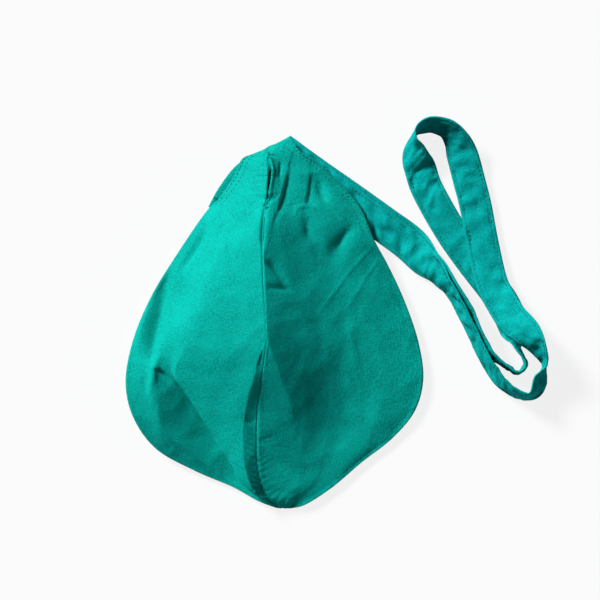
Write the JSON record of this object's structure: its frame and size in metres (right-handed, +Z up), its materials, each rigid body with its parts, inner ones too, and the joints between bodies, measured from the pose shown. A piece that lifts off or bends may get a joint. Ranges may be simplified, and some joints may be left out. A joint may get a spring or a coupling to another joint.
{
  "type": "prayer bead bag",
  "caption": "Soft cotton hand bag for prayer beads: seamed teardrop pouch with hemmed mouth, finger slit and a flat sewn neck strap laid beside it.",
  "frame": {"origin": "on the flat underside, on the rear seam, where the bag is widest", "axes": "+Z up from the surface the bag lies on, +Y from the bottom tip towards the mouth, +X towards the side the strap lies on"},
  "size_m": [0.328, 0.3056, 0.055],
  "materials": {
    "cotton": "plain-weave dyed cotton, matt",
    "strap_cotton": "folded and topstitched cotton, matt",
    "thread": "spun sewing thread"
  },
  "bodies": {
    "bag": {"left_panel": "cotton", "right_panel": "cotton", "rear_seam": "cotton", "front_seam": "cotton", "bottom_tip": "cotton", "left_rear_hem": "cotton", "right_rear_hem": "cotton", "strap_anchor": "strap_cotton"},
    "front_lip": {"left_front_lip": "cotton", "right_front_lip": "cotton", "left_front_facing": "cotton", "right_front_facing": "cotton", "slit_top_tack": "thread", "slit_bottom_tack": "thread"},
    "left_slit_flap": {"left_slit_hem": "cotton"},
    "right_slit_flap": {"right_slit_hem": "cotton"},
    "strap": {"strap": "strap_cotton"}
  },
  "joints": [
    {"name": "mouth_open", "type": "hinge", "parent": "bag", "child": "front_lip", "pos_m": [-0.0086, 0.0987, 0.0423], "axis": [0.9814, -0.1918, 0], "range_deg": [0, 40]},
    {"name": "left_slit_open", "type": "hinge", "parent": "front_lip", "child": "left_slit_flap", "pos_m": [-0.01479, 0.11144, 0.03091], "axis": [0, -0.9327, 0.3608], "range_deg": [0, 70]},
    {"name": "right_slit_open", "type": "hinge", "parent": "front_lip", "child": "right_slit_flap", "pos_m": [0.00177, 0.11033, 0.03465], "axis": [-0.001, 0.9292, -0.3695], "range_deg": [0, 70]},
    {"name": "strap_swing", "type": "hinge", "parent": "bag", "child": "strap", "pos_m": [0.0133, 0.1466, 0], "axis": [0, 0, 1], "range_deg": [0, 150]}
  ]
}
